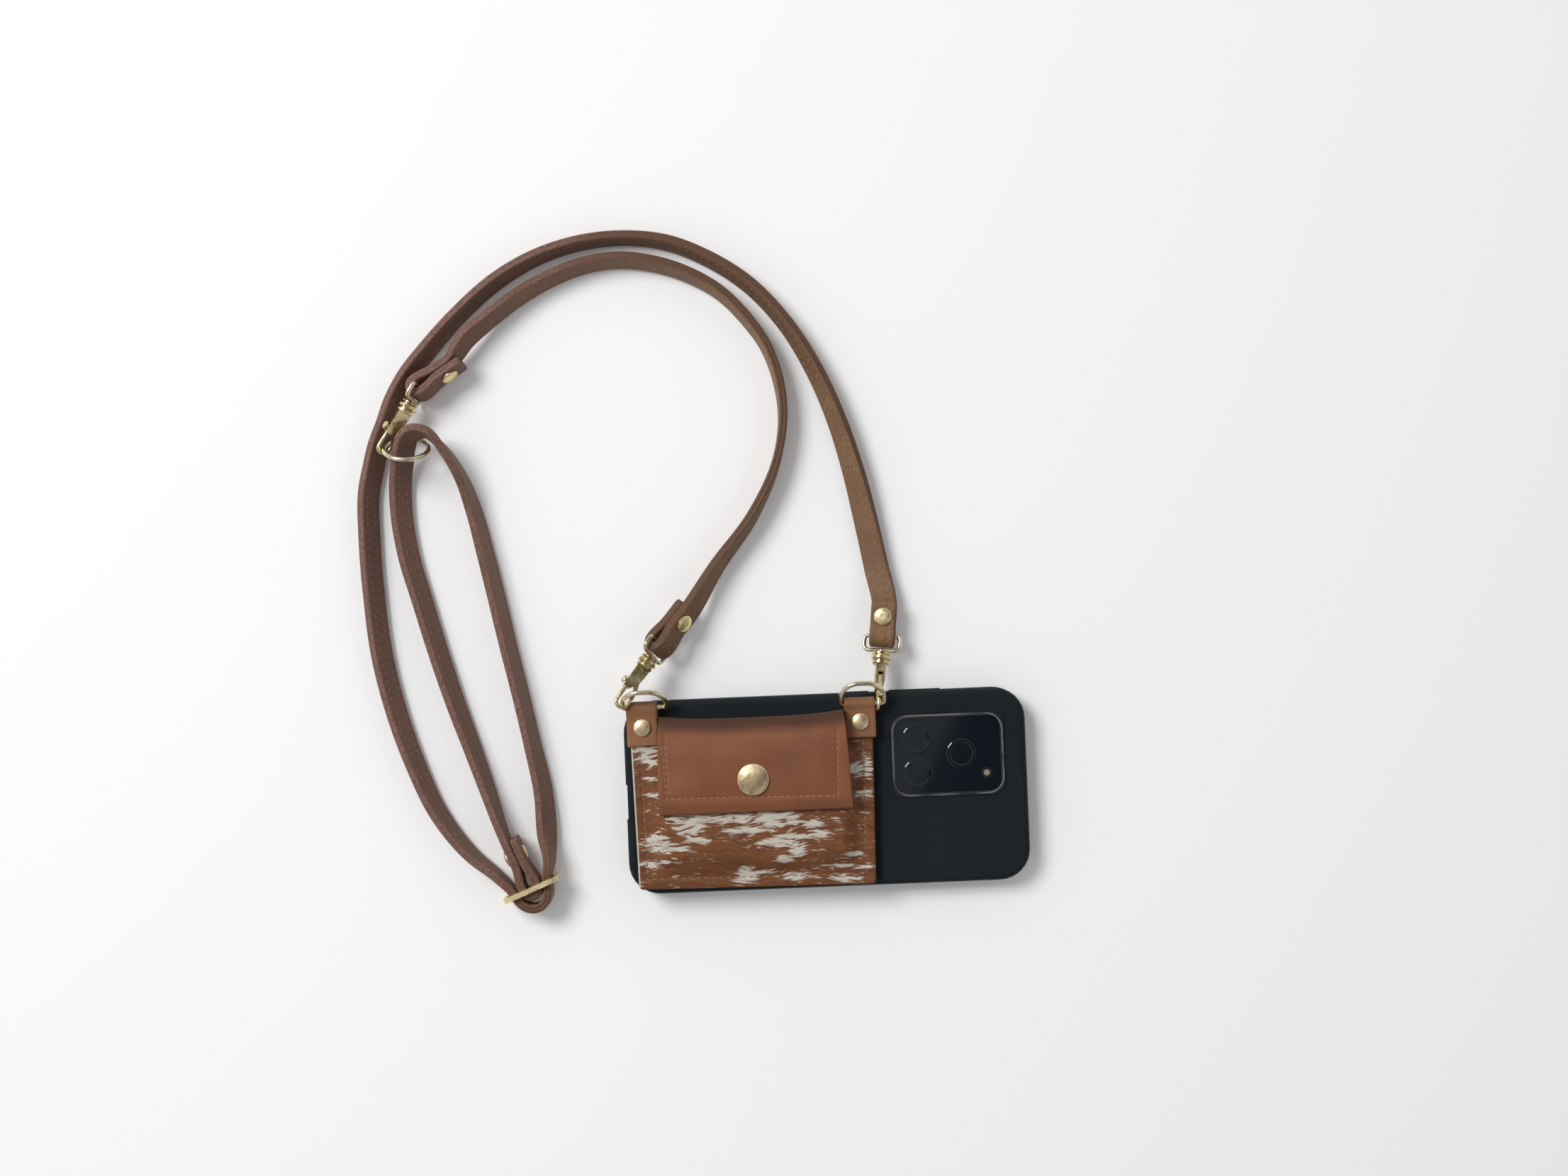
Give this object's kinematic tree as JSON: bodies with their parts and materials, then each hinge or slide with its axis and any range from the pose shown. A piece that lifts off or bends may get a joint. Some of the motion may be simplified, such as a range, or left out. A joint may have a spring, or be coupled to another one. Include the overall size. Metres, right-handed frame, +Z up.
{
  "type": "phone pouch",
  "caption": "Leather card pouch with snap flap, bonded to a phone in its case, carried by a long leather strap on trigger snap hooks.",
  "frame": {"origin": "centre of the pouch, case and D rings in plan, without the strap, on the table", "axes": "+X along the phone toward its cameras, +Y across it toward the D rings, +Z up from the table, away from the screen"},
  "size_m": [0.2806, 0.2891, 0.0269],
  "materials": {
    "case": "matte near-black navy",
    "key": "matte near-black navy",
    "phone": "satin dark grey",
    "glass": "glossy black",
    "trim": "satin light grey",
    "lens": "deep glossy black",
    "flash": "milky",
    "pad": "soft foam tape",
    "leather": "smooth tan-brown",
    "lining": "plain brown",
    "hide": "hair-on chestnut and white",
    "tab": "light tan",
    "strap": "waxed dark brown, lighter cut edges",
    "gold": "polished pale gold",
    "wire": "polished pale gold",
    "steel": "plain"
  },
  "bodies": {
    "case_and_pouch": {"phone_case": "case", "phone_frame": "phone", "screen_glass": "glass", "camera_plate": "glass", "camera_trim": "trim", "camera_lenses": "lens", "flash_lens": "flash", "adhesive_pad": "pad", "pouch_back": "lining", "pouch_front": "hide", "snap_stud": "gold", "snap_post": "gold", "tab_left": "tab", "tab_right": "tab", "tab_rivet_left": "gold", "tab_rivet_right": "gold", "hook_left_eye": "wire", "hook_right_eye": "wire", "hook_upper_eye": "wire", "strap_short": "strap", "strap_long": "strap", "strap_ring": "wire", "strap_slider": "wire", "rivet_left": "gold", "rivet_upper": "gold", "rivet_right": "gold", "rivet_slider": "gold"},
    "flap": {"flap": "leather", "snap_cap": "gold", "snap_socket": "gold"},
    "volume_key": {"volume_key": "key"},
    "power_key": {"power_key": "key"},
    "d_ring_left": {"d_ring_left": "wire"},
    "d_ring_right": {"d_ring_right": "wire"},
    "hook_left": {"hook_left_body": "gold", "hook_left_pin": "steel", "hook_left_spring": "steel"},
    "hook_left_lever": {"hook_left_lever": "gold"},
    "hook_right": {"hook_right_body": "gold", "hook_right_pin": "steel", "hook_right_spring": "steel"},
    "hook_right_lever": {"hook_right_lever": "gold"},
    "hook_upper": {"hook_upper_body": "gold", "hook_upper_pin": "steel", "hook_upper_spring": "steel"},
    "hook_upper_lever": {"hook_upper_lever": "gold"}
  },
  "joints": [
    {"name": "flap_fold", "type": "hinge", "parent": "case_and_pouch", "child": "flap", "pos_m": [-0.0309, 0.03018, 0.02155], "axis": [-1, 0, 0], "range_deg": [0, 140]},
    {"name": "volume_press", "type": "slide", "parent": "case_and_pouch", "child": "volume_key", "axis": [0, -1, 0], "range_m": [0, 0.0003], "stiffness_N_per_m": 1500, "springref_m": -0.0002},
    {"name": "power_press", "type": "slide", "parent": "case_and_pouch", "child": "power_key", "axis": [0, -1, 0], "range_m": [0, 0.0003], "stiffness_N_per_m": 1500, "springref_m": -0.0002},
    {"name": "d_ring_left_swing", "type": "hinge", "parent": "case_and_pouch", "child": "d_ring_left", "pos_m": [-0.07567, 0.03583, 0.01605], "axis": [1, 0, 0], "range_deg": [-12, 4]},
    {"name": "d_ring_right_swing", "type": "hinge", "parent": "case_and_pouch", "child": "d_ring_right", "pos_m": [0.01651, 0.03393, 0.01605], "axis": [1, 0, 0], "range_deg": [-6, 12]},
    {"name": "hook_left_swivel", "type": "hinge", "parent": "case_and_pouch", "child": "hook_left", "pos_m": [-0.08557, 0.03934, 0.02071], "axis": [0.5703, 0.7708, -0.284], "range_deg": [-24, 8]},
    {"name": "hook_left_trigger", "type": "hinge", "parent": "hook_left", "child": "hook_left_lever", "pos_m": [-0.07834, 0.04828, 0.01724], "axis": [-0.2792, -0.1433, -0.9495], "range_deg": [0, 14], "stiffness_Nm_per_rad": 0.02, "springref_deg": -17.19},
    {"name": "hook_right_swivel", "type": "hinge", "parent": "case_and_pouch", "child": "hook_right", "pos_m": [0.02292, 0.03315, 0.01545], "axis": [0.1171, 0.9541, -0.2756], "range_deg": [-8, 1.5]},
    {"name": "hook_right_trigger", "type": "hinge", "parent": "hook_right", "child": "hook_right_lever", "pos_m": [0.02438, 0.04473, 0.01262], "axis": [0.9878, -0.1407, -0.0671], "range_deg": [0, 14], "stiffness_Nm_per_rad": 0.02, "springref_deg": -17.19},
    {"name": "hook_upper_swivel", "type": "hinge", "parent": "case_and_pouch", "child": "hook_upper", "pos_m": [-0.18282, 0.15078, 0.01272], "axis": [0.5406, 0.8324, -0.1219], "range_deg": [-22, 6]},
    {"name": "hook_upper_trigger", "type": "hinge", "parent": "hook_upper", "child": "hook_upper_lever", "pos_m": [-0.17598, 0.16051, 0.01102], "axis": [-0.4523, 0.1654, -0.8764], "range_deg": [0, 13], "stiffness_Nm_per_rad": 0.02, "springref_deg": -17.19}
  ]
}
